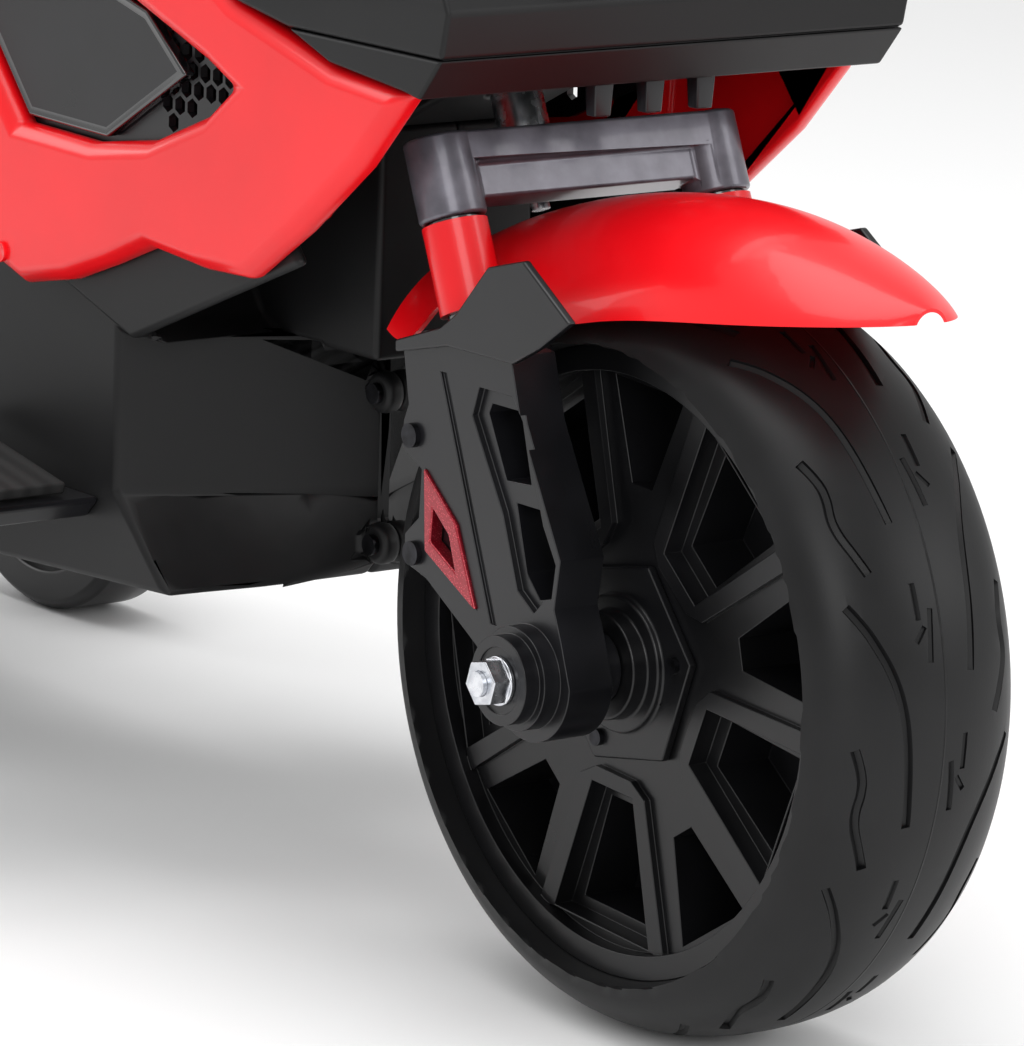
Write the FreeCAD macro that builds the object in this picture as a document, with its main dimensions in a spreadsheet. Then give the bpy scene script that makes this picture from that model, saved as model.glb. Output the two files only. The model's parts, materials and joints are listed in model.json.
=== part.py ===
"""Child's battery ride-on motorcycle with stabiliser wheels.

Frame: +X forward, +Y the rider's left, +Z up. The origin is on the floor under the middle of the
machine, half way between the two axles. Lengths are in millimetres, angles in degrees.
"""
import FreeCAD, Part
import math
import os
import re

import Sketcher
from FreeCAD import Vector

SIZES = {
    "wheel_base": 750,
    "tyre_diameter": 310,
    "tyre_width": 102,
    "rim_diameter": 256,
    "rim_width": 82,
    "rim_wall": 10,
    "web_half_width": 34,
    "rim_core": 4,
    "hub_cover_across": 90,
    "hub_boss_reach": 48.6,
    "axle_diameter": 10,
    "running_clearance": 0.05,
    "running_gap": 0.4,
    "fork_inner_face": 62,
    "fork_leg_width": 22,
    "fork_boss_reach": 15,
    "fork_tube_spacing": 136,
    "fork_tube_diameter": 21,
    "fork_cover_diameter": 27,
    "fork_foot": 7.4,
    "rake": 23,
    "crown_gap": 14.8,
    "crown_height": 34,
    "stem_offset": 30.8,
    "stem_diameter": 22,
    "stem_length": 355,
    "bar_width": 480,
    "bar_diameter": 22,
    "bar_rise": 32,
    "bar_pullback": 34,
    "grip_length": 104,
    "grip_diameter": 32,
    "body_half_width": 118,
    "panel_thickness": 12,
    "panel_wall": 4,
    "panel_bevel": 5,
    "prow_sweep": 58,
    "chassis_half_width": 100,
    "chassis_wall": 4,
    "seat_width": 196,
    "seat_height": 112,
    "seat_thickness": 40,
    "arm_width": 16,
    "fender_wall": 3,
    "fender_half_width": 60,
    "grille_pitch": 9,
    "stabiliser_diameter": 172,
    "stabiliser_width": 44,
    "stabiliser_track": 400,
    "footrest_reach": 86,
    "button_travel": 2,
}

# Where things hang from, as formulas of the sizes.
FRONT_X = "wheel_base / 2"
REAR_X = "-wheel_base / 2"
AXLE_Z = "tyre_diameter / 2"
DECK_Z = "tyre_diameter"
CROWN_Z = "(tyre_diameter + crown_gap)"
CROWN_X = f"({FRONT_X} - fork_foot - ({CROWN_Z} - {AXLE_Z}) * tan(rake * 1deg))"
STEER_X = f"({CROWN_X} - stem_offset * cos(rake * 1deg))"
STEER_Z = f"({CROWN_Z} - stem_offset * sin(rake * 1deg))"
FRONT_AXLE = (FRONT_X, 0, AXLE_Z)
REAR_AXLE = (REAR_X, 0, AXLE_Z)
NOSE = (FRONT_X, 0, DECK_Z)
MIDDLE = (0, 0, DECK_Z)
TAIL = (REAR_X, 0, DECK_Z)
STEERING = (STEER_X, 0, STEER_Z)
BORE = "(axle_diameter + 2 * running_clearance)"
PANEL_IN = "(body_half_width - panel_thickness)"
FORK_OUT = "(fork_inner_face + fork_leg_width)"
NUT_FACE = f"({FORK_OUT} + fork_boss_reach - 1)"

doc = FreeCAD.newDocument("RideOnMotorcycle")
sheet = doc.addObject("Spreadsheet::Sheet", "Dims")
for row, (size_name, size_value) in enumerate(SIZES.items(), start=1):
    sheet.set(f"A{row}", size_name)
    sheet.set(f"B{row}", str(size_value))
    sheet.setAlias(f"B{row}", size_name)
doc.recompute()

NAME_PATTERN = re.compile(r"\b(" + "|".join(sorted(SIZES, key=len, reverse=True)) + r")\b")
parts = []


# ---------------------------------------------------------------- helpers

def formula(text):
    """Turns a formula of size names into an expression that reads the sheet."""
    return NAME_PATTERN.sub(r"Dims.\1", str(text))


def number(text):
    """The present value of a formula or a plain number."""
    return float(sheet.evalExpression(formula(text)))


def bind(item, target, text):
    """Ties a property to a formula of the sizes."""
    item.setExpression(target, formula(text))


def place(item, anchor, raked=False):
    """Puts an object at an anchor; a raked one leans back with the steering axis."""
    if raked:
        item.Placement = FreeCAD.Placement(Vector(), FreeCAD.Rotation(Vector(0, -1, 0), number("rake")))
        bind(item, "Placement.Rotation.Angle", "rake * 1deg")
    for axis, text in zip("xyz", anchor):
        bind(item, f"Placement.Base.{axis}", text)


def new_body(label, anchor, raked=False):
    """A body with its own label, hung from an anchor."""
    body = doc.addObject("PartDesign::Body", label)
    body.Label = label
    place(body, anchor, raked)
    return body


def keep(item, label=None):
    """Marks an object as one of the separate pieces of the machine."""
    if label:
        item.Label = label
    parts.append(item)
    return item


def new_sketch(body, role, offset=0):
    """A sketch on one of the body's own planes, moved along that plane's normal."""
    sketch = body.newObject("Sketcher::SketchObject", "Sketch")
    plane = next(f for f in body.Origin.OriginFeatures if f.Role == role)
    sketch.AttachmentSupport = (plane, [""])
    sketch.MapMode = "FlatFace"
    bind(sketch, "AttachmentOffset.Base.z", offset)
    return sketch


def pin(sketch, geometry, end, point):
    """Ties a point of the sketch to its two coordinates."""
    for kind, text in zip(("DistanceX", "DistanceY"), point):
        index = sketch.addConstraint(Sketcher.Constraint(kind, -1, 1, geometry, end, number(text)))
        if isinstance(text, str):
            bind(sketch, f"Constraints[{index}]", text)


def loop(sketch, points):
    """A closed loop of lines. A point marked "via" is passed by an arc between its neighbours."""
    count = len(points)
    corners = [i for i in range(count) if len(points[i]) == 2]
    spots = [Vector(number(p[0]), number(p[1]), 0) for p in points]
    ends = []
    for here, after in zip(corners, corners[1:] + corners[:1]):
        if (here + 1) % count == after:
            edge = sketch.addGeometry(Part.LineSegment(spots[here], spots[after]), False)
        else:
            arc = Part.Arc(spots[here], spots[(here + 1) % count], spots[after])
            edge = sketch.addGeometry(arc, False)
        forward = sketch.getPoint(edge, 1).distanceToPoint(spots[here]) < 1e-6
        ends.append((edge, 1 if forward else 2, 2 if forward else 1))
    for index, (edge, start, _) in enumerate(ends):
        before, _, finish = ends[index - 1]
        sketch.addConstraint(Sketcher.Constraint("Coincident", before, finish, edge, start))
        pin(sketch, edge, start, points[corners[index]])


def ring(sketch, centre, diameter):
    """A circle tied to its centre and its diameter."""
    spot = Vector(number(centre[0]), number(centre[1]), 0)
    edge = sketch.addGeometry(Part.Circle(spot, Vector(0, 0, 1), number(diameter) / 2), False)
    index = sketch.addConstraint(Sketcher.Constraint("Diameter", edge, number(diameter)))
    bind(sketch, f"Constraints[{index}]", diameter)
    pin(sketch, edge, 3, centre)


def feature(body, kind, role, low, high, loops, rings):
    """Adds or cuts the space between two planes, inside the given loops and circles."""
    flip = -1 if role == "XZ_Plane" else 1
    sketch = new_sketch(body, role, f"{flip} * (({low}) + ({high})) / 2")
    for points in loops:
        loop(sketch, points)
    for centre, diameter in rings:
        ring(sketch, centre, diameter)
    solid = body.newObject(kind, kind.split("::")[1])
    solid.Profile = sketch
    solid.SideType = "Symmetric"
    bind(solid, "Length", f"abs(({high}) - ({low}))")
    return solid


def slab(body, low, high, loops=(), rings=(), role="XZ_Plane"):
    """Adds material; by default the outline lies in XZ and the thickness runs along Y."""
    return feature(body, "PartDesign::Pad", role, low, high, loops, rings)


def cut(body, low, high, loops=(), rings=(), role="XZ_Plane"):
    """Takes material away, and makes sure that it did."""
    doc.recompute()
    before = body.Shape.Volume
    pocket = feature(body, "PartDesign::Pocket", role, low, high, loops, rings)
    doc.recompute()
    if body.Shape.Volume >= before:
        raise ValueError(f"a cut in {body.Label} removes nothing")
    return pocket


def turned(body, points, role="XY_Plane"):
    """A ring turned about the sketch's upright axis; each point is (radius, place on the axis)."""
    sketch = new_sketch(body, role)
    loop(sketch, points)
    solid = body.newObject("PartDesign::Revolution", "Revolution")
    solid.Profile = sketch
    solid.ReferenceAxis = (sketch, ["V_Axis"])
    solid.Angle = 360
    return solid


def round_edges(body, direction, radius, where=lambda centre: True):
    """Rounds the straight edges that run along one direction."""
    doc.recompute()
    base = body.Tip
    names = []
    for index, edge in enumerate(base.Shape.Edges, start=1):
        if edge.Curve.TypeId != "Part::GeomLine":
            continue
        if abs(edge.tangentAt(edge.FirstParameter).dot(direction)) < 0.999:
            continue
        if where(edge.CenterOfMass):
            names.append(f"Edge{index}")
    fillet = body.newObject("PartDesign::Fillet", "Fillet")
    fillet.Base = (base, names)
    bind(fillet, "Radius", radius)
    return fillet


def mirrored(y_low, y_high, side):
    """The same pair of Y planes on the left (+1) or on the right (-1)."""
    return f"{side} * ({y_low})", f"{side} * ({y_high})"


def rectangle(u_low, u_high, v_low, v_high):
    """The four corners of an upright rectangle."""
    return [(u_low, v_low), (u_high, v_low), (u_high, v_high), (u_low, v_high)]


def hexagon(u, v, across_flats, turn=0):
    """A regular hexagon as a list of plain points."""
    reach = across_flats / math.sqrt(3)
    angles = [math.radians(60 * i + turn) for i in range(6)]
    return [(u + reach * math.cos(a), v + reach * math.sin(a)) for a in angles]


def polar(radius, degrees):
    """A plain point from a radius and an angle."""
    return radius * math.cos(math.radians(degrees)), radius * math.sin(math.radians(degrees))


def cylinder(name, anchor, diameter, length, raked=False):
    """A loose cylinder that stands on its anchor."""
    item = doc.addObject("Part::Cylinder", name)
    bind(item, "Radius", f"({diameter}) / 2")
    bind(item, "Height", length)
    place(item, anchor, raked)
    return item


def on_steering(local_x, y, local_z):
    """An anchor given along and across the steering axis."""
    x = f"{STEER_X} + ({local_x}) * cos(rake * 1deg) - ({local_z}) * sin(rake * 1deg)"
    z = f"{STEER_Z} + ({local_x}) * sin(rake * 1deg) + ({local_z}) * cos(rake * 1deg)"
    return x, y, z


def combine(kind, label, first, second):
    """A cut or a fusion of two objects, kept under one label."""
    item = doc.addObject(kind, label)
    if kind == "Part::Cut":
        item.Base = first
        item.Tool = second
    else:
        item.Shapes = [first] + list(second)
    item.Label = label
    return item


# ---------------------------------------------------------------- wheels

def tyre(label, anchor):
    """Foam tyre: a flat bead seat, bulged sides and a crown."""
    body = new_body(label, anchor)
    bead = "rim_diameter / 2"
    tread = "tyre_diameter / 2"
    shoulder = f"{tread} - 0.496 * ({tread} - {bead})"
    edge = f"{tread} - 0.156 * ({tread} - {bead})"
    flank = f"{bead} + 0.074 * ({tread} - {bead})"
    turned(body, [
        (bead, "-rim_width / 2"), (bead, "rim_width / 2"), (flank, "tyre_width / 2"),
        (shoulder, "tyre_width * 0.441", "via"), (edge, "tyre_width * 0.294"),
        (tread, 0, "via"), (edge, "-tyre_width * 0.294"),
        (shoulder, "-tyre_width * 0.441", "via"), (flank, "-tyre_width / 2"),
    ])
    return keep(body)


def rim_window(centre, inner, outer, inner_half, outer_half):
    """A four-cornered window between two radii; the half widths are angles."""
    corners = [(inner, -inner_half), (outer, -outer_half), (outer, outer_half), (inner, inner_half)]
    return [polar(radius, centre + angle) for radius, angle in corners]


def repeat_round(body, feature_to_copy, count):
    """Repeats a feature round the axle."""
    pattern = body.newObject("PartDesign::PolarPattern", "Around")
    pattern.Originals = [feature_to_copy]
    pattern.Axis = (next(f for f in body.Origin.OriginFeatures if f.Role == "Y_Axis"), [""])
    pattern.Angle = 360
    pattern.Occurrences = count
    body.Tip = pattern


def rim(label, anchor):
    """Moulded rim: a barrel and a core wall, with ten ribs between deep pockets on each side."""
    body = new_body(label, anchor)
    outer = "rim_diameter / 2"
    barrel = f"({outer} - rim_wall)"
    web = "web_half_width"
    turned(body, [
        (f"{BORE} / 2", f"-{web}"), (barrel, f"-{web}"), (barrel, "-rim_width / 2"),
        (outer, "-rim_width / 2"), (outer, "rim_width / 2"), (barrel, "rim_width / 2"),
        (barrel, web), (f"{BORE} / 2", web),
    ])
    reach = number(barrel)
    inner = number("hub_cover_across") / 2 + 3
    band = [polar(reach + 2, 30), polar(inner + 8, 28), polar(inner, 36), polar(inner, 64),
            polar(inner + 8, 72), polar(reach + 2, 70)]
    ledge = rim_window(50, inner + 7, reach - 2, 14, 15.5)
    broad = rim_window(50, inner + 13, reach - 9, 10, 12)
    narrow = rim_window(14, 0.62 * reach, reach - 2, 5, 11)
    for side in (1, -1):
        frames = slab(body, *mirrored(f"{web} - 1", f"{web} + 3", side), [band])
        repeat_round(body, frames, 5)
        ledges = cut(body, *mirrored(f"{web} - 6", f"{web} + 3", side), [ledge])
        repeat_round(body, ledges, 5)
        windows = cut(body, *mirrored("rim_core / 2", web, side), [broad, narrow])
        repeat_round(body, windows, 5)
    return keep(body)


def hub_cover(label, anchor, side):
    """Hexagonal plate with a stepped boss round the axle."""
    body = new_body(label, anchor)
    face = "web_half_width"
    plate = hexagon(0, 0, number("hub_cover_across") * math.sqrt(3) / 2, 10)
    slab(body, *mirrored(face, f"{face} + 4", side), [plate])
    slab(body, *mirrored(f"{face} + 4", f"{face} + 7", side), rings=[((0, 0), 56)])
    slab(body, *mirrored(f"{face} + 7", "hub_boss_reach", side), rings=[((0, 0), 44)])
    cut(body, *mirrored(face, "hub_boss_reach", side), rings=[((0, 0), BORE)])
    return keep(body)


def hub_screws(label, anchor, sides):
    """Three pan-head screws on each hub cover, all alike."""
    body = new_body(label, anchor)
    heads = [(polar(0.39 * number("hub_cover_across"), 10 + 120 * i), "7") for i in range(3)]
    for side in sides:
        slab(body, *mirrored("web_half_width + 4", "web_half_width + 6.2", side), rings=heads)
    return keep(body)


def axle(label, anchor, reach):
    """Plain axle rod."""
    body = new_body(label, anchor)
    slab(body, f"-({reach})", reach, rings=[((0, 0), "axle_diameter")])
    return keep(body)


def axle_nuts(label, anchor, seat):
    """Washer and lock nut at each end of an axle, on the given seat plane."""
    body = new_body(label, anchor)
    across = 17
    for side in (1, -1):
        slab(body, *mirrored(seat, f"{seat} + 2", side), rings=[((0, 0), "2 * axle_diameter")])
        slab(body, *mirrored(f"{seat} + 2", f"{seat} + 10", side), [hexagon(0, 0, across, 12)])
    reach = f"{seat} + 12"
    cut(body, f"-({reach})", reach, rings=[((0, 0), "axle_diameter")])
    return keep(body)


# ---------------------------------------------------------------- fork and fender

# Side views of the leg, drawn for a tyre of DRAWN_RADIUS; between LEG_FOOT and LEG_HEAD they stretch.
DRAWN_RADIUS = 155
LEG_FOOT = 26.5
LEG_HEAD = 92
LEG_OUTLINE = [
    (-90, 120), (-85, 95), (-88, 88), (-88, 76), (-75, 70), (-76, 50), (-85, 42), (-85, 30),
    (-70, 26), (-36, 6), (-26.5, 0), (0, -26.5, "via"), (26.5, 0), (20, 18), (15, 30), (18, 50),
    (-10, 100), (-18, 126), (-60, 130), (-75, 127),
]
UPPER_SLOT = [(-35, 100), (-33, 104), (-16, 104), (-13, 100), (-6, 76), (-22, 75)]
LOWER_SLOT = [(-15, 67), (3, 67), (15, 48), (13, 34), (2, 31), (-7, 40)]
INSERT_OUTLINE = [(-72, 71), (-49, 52), (-35, 20), (-70, 38)]
INSERT_WINDOW = [(-65, 56), (-54, 47), (-49, 33), (-66, 42)]
LUGS = [(-81, 83), (-78, 35)]
FACE_RECESS = [(-42, 98), (-38, 110), (-16, 110), (-8, 99), (10, 52), (8, 32), (2, 26), (-9, 33), (-20, 62)]
FACE_GROOVE = [(-64, 112), (-60, 112), (-22, 16), (-26, 16)]


def leg_side(points):
    """The leg's outline points: fixed round the axle, and its top following the tyre's top."""
    moved = []
    for x, z, *via in points:
        share = min(max((z - LEG_FOOT) / (LEG_HEAD - LEG_FOOT), 0), 1)
        rise = f"{share} * ({AXLE_Z} - {DRAWN_RADIUS})"
        moved.append((f"{x} - {rise} * tan(rake * 1deg)", f"{z} + {rise}", *via))
    return moved


def fork_leg(label, side):
    """Moulded lower leg: flat blade, lightening slots, axle boss and a socket for the fork tube."""
    body = new_body(f"{label}_blade", FRONT_AXLE)
    inner, outer = "fork_inner_face", FORK_OUT
    slab(body, *mirrored(inner, outer, side), [leg_side(LEG_OUTLINE)])
    tower = [(-84, 96), (-26, 92), (-30, 126), (-60, 128.5), (-80, 122)]
    slab(body, *mirrored("fork_tube_spacing / 2 - fork_cover_diameter / 2", inner, side), [leg_side(tower)])
    boss = f"{outer} + fork_boss_reach"
    slab(body, *mirrored(outer, f"{outer} + 8", side), rings=[((0, 0), 42)])
    slab(body, *mirrored(f"{outer} + 8", boss, side), rings=[((0, 0), 36)])
    slab(body, *mirrored("hub_boss_reach + running_gap", inner, side), rings=[((0, 0), 30)])
    cut(body, *mirrored(NUT_FACE, f"{boss} + 1", side), rings=[((0, 0), 27)])
    cut(body, *mirrored("hub_boss_reach", boss, side), rings=[((0, 0), "axle_diameter")])
    cut(body, *mirrored(f"{outer} - 3", outer, side), [leg_side(FACE_RECESS)])
    cut(body, *mirrored(f"{outer} - 1.5", outer, side), [leg_side(FACE_GROOVE)])
    cut(body, *mirrored(inner, outer, side), [leg_side(UPPER_SLOT), leg_side(LOWER_SLOT)])
    cut(body, *mirrored(f"{outer} - 5", outer, side), [leg_side(INSERT_OUTLINE)])
    cut(body, *mirrored(f"{outer} - 6", outer, side), rings=[(lug, 6) for lug in leg_side(LUGS)])
    socket = cylinder(f"{label}_socket", on_steering("stem_offset", f"{side} * fork_tube_spacing / 2", -78),
                      "fork_tube_diameter", 60, raked=True)
    return keep(combine("Part::Cut", label, body, socket))


def fork_insert(label, side):
    """Metallic four-sided trim plate with a window, let into the leg."""
    body = new_body(label, FRONT_AXLE)
    slab(body, *mirrored(f"{FORK_OUT} - 5", f"{FORK_OUT} + 1.5", side), [leg_side(INSERT_OUTLINE)])
    cut(body, *mirrored(f"{FORK_OUT} - 5", f"{FORK_OUT} + 1.5", side), [leg_side(INSERT_WINDOW)])
    return keep(body)


def fork_wing(label, side):
    """Pointed wing plate on the outside of the leg's top."""
    body = new_body(label, FRONT_AXLE)
    outline = [(-90, 116), (-90, 121), (-60, 131), (-50, 138), (-30, 160), (-7, 166), (24, 146),
               (5, 133), (-12, 124), (-55, 124)]
    slab(body, *mirrored(FORK_OUT, f"{FORK_OUT} + 4", side), [leg_side(outline)])
    return keep(body)


def fork_lug_bolts(label):
    """Pan-head screws in the two lugs of each leg."""
    body = new_body(label, FRONT_AXLE)
    shanks = [(lug, 6) for lug in leg_side(LUGS)]
    heads = [(lug, 10) for lug in leg_side(LUGS)]
    for side in (1, -1):
        slab(body, *mirrored(f"{FORK_OUT} - 6", FORK_OUT, side), rings=shanks)
        slab(body, *mirrored(FORK_OUT, f"{FORK_OUT} + 2.5", side), rings=heads)
    return keep(body)


def fork_tube(label, side):
    """Inner tube from the leg's socket to the top of the crown."""
    anchor = on_steering("stem_offset", f"{side} * fork_tube_spacing / 2", -78)
    return keep(cylinder(label, anchor, "fork_tube_diameter", "78 + crown_height - 3", raked=True), label)


def fork_crown(label):
    """Bridge between the two fork tubes, with the stem's boss behind it."""
    body = new_body(label, STEERING, raked=True)
    half = "fork_tube_spacing / 2"
    tubes = [(("stem_offset", f"{side} * {half}"), "fork_cover_diameter + 1") for side in (1, -1)]
    slab(body, 0, "crown_height", rings=tubes, role="XY_Plane")
    slab(body, 7, "crown_height - 13", [rectangle(14, 36, f"-{half} + 8", f"{half} - 8")], role="XY_Plane")
    rib = rectangle(29, 43, f"-{half} + 2", f"{half} - 2")
    slab(body, "crown_height - 13", "crown_height", [rib], role="XY_Plane")
    slab(body, 20, "crown_height", rings=[((0, 0), "stem_diameter + 16")], role="XY_Plane")
    slab(body, 20, "crown_height", [rectangle(4, 34, -16, 16)], role="XY_Plane")
    sockets = [(centre, "fork_tube_diameter") for centre, _ in tubes]
    cut(body, 0, "crown_height - 3", rings=sockets, role="XY_Plane")
    cut(body, 20, "crown_height", rings=[((0, 0), "stem_diameter")], role="XY_Plane")
    return keep(body)


def fender_section(x):
    """Crest and edge heights over the axle line's tyre top, and the share of the full half width."""
    crest = 32.5 - (0.0019 if x > 22 else 0.00154) * (x - 22) ** 2
    rise = min(max((x + 30) / 60, 0), 1)
    edge = -21 + 12 * rise * rise * (3 - 2 * rise) + 0.105 * max(x - 30, 0) - 0.0045 * min(x + 70, 0) ** 2
    share = math.sqrt(1 - (max(x + 20, 0) / 157) ** 2)
    return crest, edge, share


def fender(label):
    """Thin arched mudguard with a pointed beak, joined to the two fork tube covers."""
    body = new_body(f"{label}_shell", FRONT_AXLE)
    sketches = []
    for x in (-134, -100, -65, -30, 5, 40, 75, 105, 125, 135.5):
        crest, edge, share = fender_section(x)
        sketch = new_sketch(body, "YZ_Plane", f"{x} - ({AXLE_Z} - {DRAWN_RADIUS}) * tan(rake * 1deg)")
        half = f"fender_half_width * {share}"
        wall = f"fender_wall * {min(1, 0.35 + share)}"
        low = f"{AXLE_Z} + {edge}"
        top = f"{AXLE_Z} + {crest}"
        loop(sketch, [
            (f"-{half}", low), (0, top, "via"), (half, low), (f"{half} - {wall}", low),
            (0, f"{top} - {wall}", "via"), (f"-({half} - {wall})", low),
        ])
        sketches.append(sketch)
    loft = body.newObject("PartDesign::AdditiveLoft", "Arch")
    loft.Profile = sketches[0]
    loft.Sections = sketches[1:]
    loft.Ruled = False
    covers = []
    bores = []
    for side in (1, -1):
        y = f"{side} * fork_tube_spacing / 2"
        anchor = on_steering("stem_offset", y, -38)
        covers.append(cylinder(f"{label}_cover", anchor, "fork_cover_diameter", 36.5, raked=True))
        deeper = on_steering("stem_offset", y, -75)
        bores.append(cylinder(f"{label}_bore", deeper, "fork_tube_diameter", 90, raked=True))
    whole = combine("Part::MultiFuse", f"{label}_whole", body, covers)
    tools = combine("Part::MultiFuse", f"{label}_bores", bores[0], bores[1:])
    return keep(combine("Part::Cut", label, whole, tools))


# ---------------------------------------------------------------- steering

def steering_stem(label):
    """Stem from under the crown up to the handlebar, with a threaded lower end and its nut."""
    body = new_body(label, STEERING, raked=True)
    turned(body, [
        (0, 7), (4, 7), (4, 14), (8, 14), (8, 20), ("stem_diameter / 2", 20),
        ("stem_diameter / 2", "stem_length - bar_diameter / 2 - 3"),
        (0, "stem_length - bar_diameter / 2 - 3"),
    ], role="XZ_Plane")
    return keep(body)


def bar_path():
    """The handlebar's centre line in the steering frame: level middle, risers and level ends."""
    rise = number("stem_length + bar_rise")
    back = -number("bar_pullback")
    half = number("bar_width") / 2
    left = [Vector(0, 45, number("stem_length")), Vector(0.3 * back, 84, rise - 6),
            Vector(back, 118, rise), Vector(back, half, rise)]
    right = [Vector(spot.x, -spot.y, spot.z) for spot in reversed(left)]
    return right + left


def rounded_wire(points, radius):
    """Straight runs joined by tangent arcs."""
    edges = []
    start = points[0]
    for before, corner, after in zip(points, points[1:], points[2:]):
        into = (corner - before).normalize()
        out = (after - corner).normalize()
        half_turn = into.getAngle(out) / 2
        trim = radius * math.tan(half_turn)
        first = corner - into * trim
        last = corner + out * trim
        bulge = (out - into).normalize() * (radius / math.cos(half_turn) - radius)
        edges.append(Part.LineSegment(start, first).toShape())
        edges.append(Part.Arc(first, corner + bulge, last).toShape())
        start = last
    edges.append(Part.LineSegment(start, points[-1]).toShape())
    return Part.Wire(edges)


def pipe(points, radius, bend):
    """A solid round bar along a rounded centre line."""
    wire = rounded_wire(points, bend)
    heading = (points[1] - points[0]).normalize()
    section = Part.Wire(Part.Circle(points[0], heading, radius).toShape())
    return wire.makePipeShell([section], True, False)


def handlebar(label):
    """Bent bar with its stem clamp and a switch pod beside the left grip."""
    shape = pipe(bar_path(), number("bar_diameter") / 2, 18)
    base = number("stem_length")
    grow = number("bar_diameter") / 2
    clamp = Part.makeBox(2 * grow + 16, 60, 2 * grow + 14, Vector(-grow - 8, -30, base - grow - 3))
    inner = number("bar_width") / 2 - number("grip_length") - 6
    low = base + number("bar_rise") - grow - 5
    x_pod = -number("bar_pullback") * 0.62
    pod = Part.makeBox(2 * grow + 12, 26, 2 * grow + 10, Vector(x_pod - grow - 6, inner - 28, low))
    shape = shape.fuse([clamp, pod]).removeSplitter()
    well_depth = number("button_travel") + 4
    well = Vector(x_pod, inner - 15, low + 2 * grow + 10 - well_depth)
    shape = shape.cut(Part.makeCylinder(6.5 + number("running_gap"), well_depth, well))
    item = doc.addObject("Part::Feature", label)
    item.Shape = shape
    place(item, STEERING, raked=True)
    return keep(item, label)


def bar_end(side):
    """The last straight run of the handlebar: its outer end and the way back along it."""
    points = bar_path()
    outer, inner = (points[-1], points[-2]) if side > 0 else (points[0], points[1])
    return outer, (inner - outer).normalize()


def grip(label, side):
    """Rubber grip over the bar's end, with a flange at each end."""
    outer, back = bar_end(side)
    length = number("grip_length")
    bore = number("bar_diameter") / 2
    outside = number("grip_diameter") / 2
    shape = Part.makeCylinder(outside, length + 4, outer - back * 4, back)
    for start in (-4, length - 5):
        shape = shape.fuse(Part.makeCylinder(outside + 5, 5, outer + back * start, back))
    shape = shape.cut(Part.makeCylinder(bore, length + 10, outer, back)).removeSplitter()
    item = doc.addObject("Part::Feature", label)
    item.Shape = shape
    place(item, STEERING, raked=True)
    return keep(item, label)


def mirror(label, side):
    """Mirror head on a bent stalk that stands on the bar's riser."""
    base = number("stem_length") + number("bar_rise") + number("bar_diameter") / 2 + 0.4
    y = number("bar_width") / 2 - number("grip_length") - 44
    foot = Vector(-0.42 * number("bar_pullback"), side * y, base)
    stalk = [foot, foot + Vector(4, side * 4, 42), foot + Vector(0, side * 52, 74)]
    shape = pipe(stalk, 5, 16)
    shape = shape.fuse(Part.makeCylinder(9, 7, foot, Vector(0, 0, 1)))
    centre = foot + Vector(0, side * 66, 84)
    head = Part.makeBox(16, 92, 50, Vector(centre.x - 8, centre.y - 46, centre.z - 25))
    upright = [edge for edge in head.Edges if abs(edge.tangentAt(edge.FirstParameter).x) > 0.999]
    head = head.makeFillet(18, upright)
    shape = shape.fuse(head).removeSplitter()
    item = doc.addObject("Part::Feature", label)
    item.Shape = shape
    place(item, STEERING, raked=True)
    return keep(item, label)


def horn_button(label):
    """Round push button that stands out of the switch pod."""
    inner = "bar_width / 2 - grip_length - 6"
    top = "stem_length + bar_rise + bar_diameter / 2 + 5"
    body = new_body(label, STEERING, raked=True)
    centre = ("-bar_pullback * 0.62", f"{inner} - 15")
    slab(body, f"{top} - 3", f"{top} + button_travel + 1", rings=[(centre, 13)], role="XY_Plane")
    return keep(body)


# ---------------------------------------------------------------- body work

PANEL_OUTLINE = [
    (-47, 73), (-99, 77), (-168, 95), (-250, 137), (-330, 167), (-385, 130), (-425, 80), (-400, 5),
    (-360, -35), (-323, -46), (-288, -39), (-258, -28), (-228, -16), (-188, -19), (-156, -18),
    (-119, 7), (-79, 39),
]
PANEL_OPENING = [(-170, 59), (-188, 67), (-248, 87), (-330, 107), (-372, 70), (-328, 23), (-273, 22),
                 (-228, 29), (-188, 45)]
GRILLE_OUTLINE = [(-164, 59), (-187, 71), (-249, 91), (-333, 111), (-378, 70), (-330, 19), (-272, 18),
                  (-226, 25), (-184, 42)]
BADGE_OUTLINE = [(-208, 59), (-238, 82), (-330, 104), (-366, 70), (-326, 26), (-266, 25)]


def side_panel(label, side):
    """Painted body side with a large pointed opening."""
    body = new_body(label, NOSE)
    slab(body, *mirrored(PANEL_IN, "body_half_width", side), [PANEL_OUTLINE])
    cut(body, *mirrored(PANEL_IN, "body_half_width", side), [PANEL_OPENING])
    doc.recompute()
    base = body.Tip
    outside = side * number("body_half_width")
    face = next(i for i, f in enumerate(base.Shape.Faces, start=1)
                if abs(f.CenterOfMass.y - outside) < 1e-3)
    bevel = body.newObject("PartDesign::Chamfer", "Bevel")
    bevel.Base = (base, [f"Face{face}"])
    bind(bevel, "Size", "panel_bevel")
    back = [(-60, 71), (-99, 70), (-166, 85), (-171, 20), (-196, -9), (-150, -6), (-113, 16)]
    cut(body, *mirrored(PANEL_IN, "body_half_width - panel_wall", side), [back])
    return keep(body)


def grille_cells():
    """Rows of hexagonal cells that fill the front corner of the opening."""
    pitch = number("grille_pitch")
    cells = []
    for row in range(-3, 5):
        for column in range(7):
            u = -184 - pitch * (column + 0.5 * (row % 2))
            v = 60 + row * pitch * math.sqrt(3) / 2
            if v < 62 + 0.33 * (-184 - u) and v > 52 - 0.42 * (-184 - u) and u > -232:
                cells.append(hexagon(u, v, pitch * 0.8, 30))
    return cells


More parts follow.
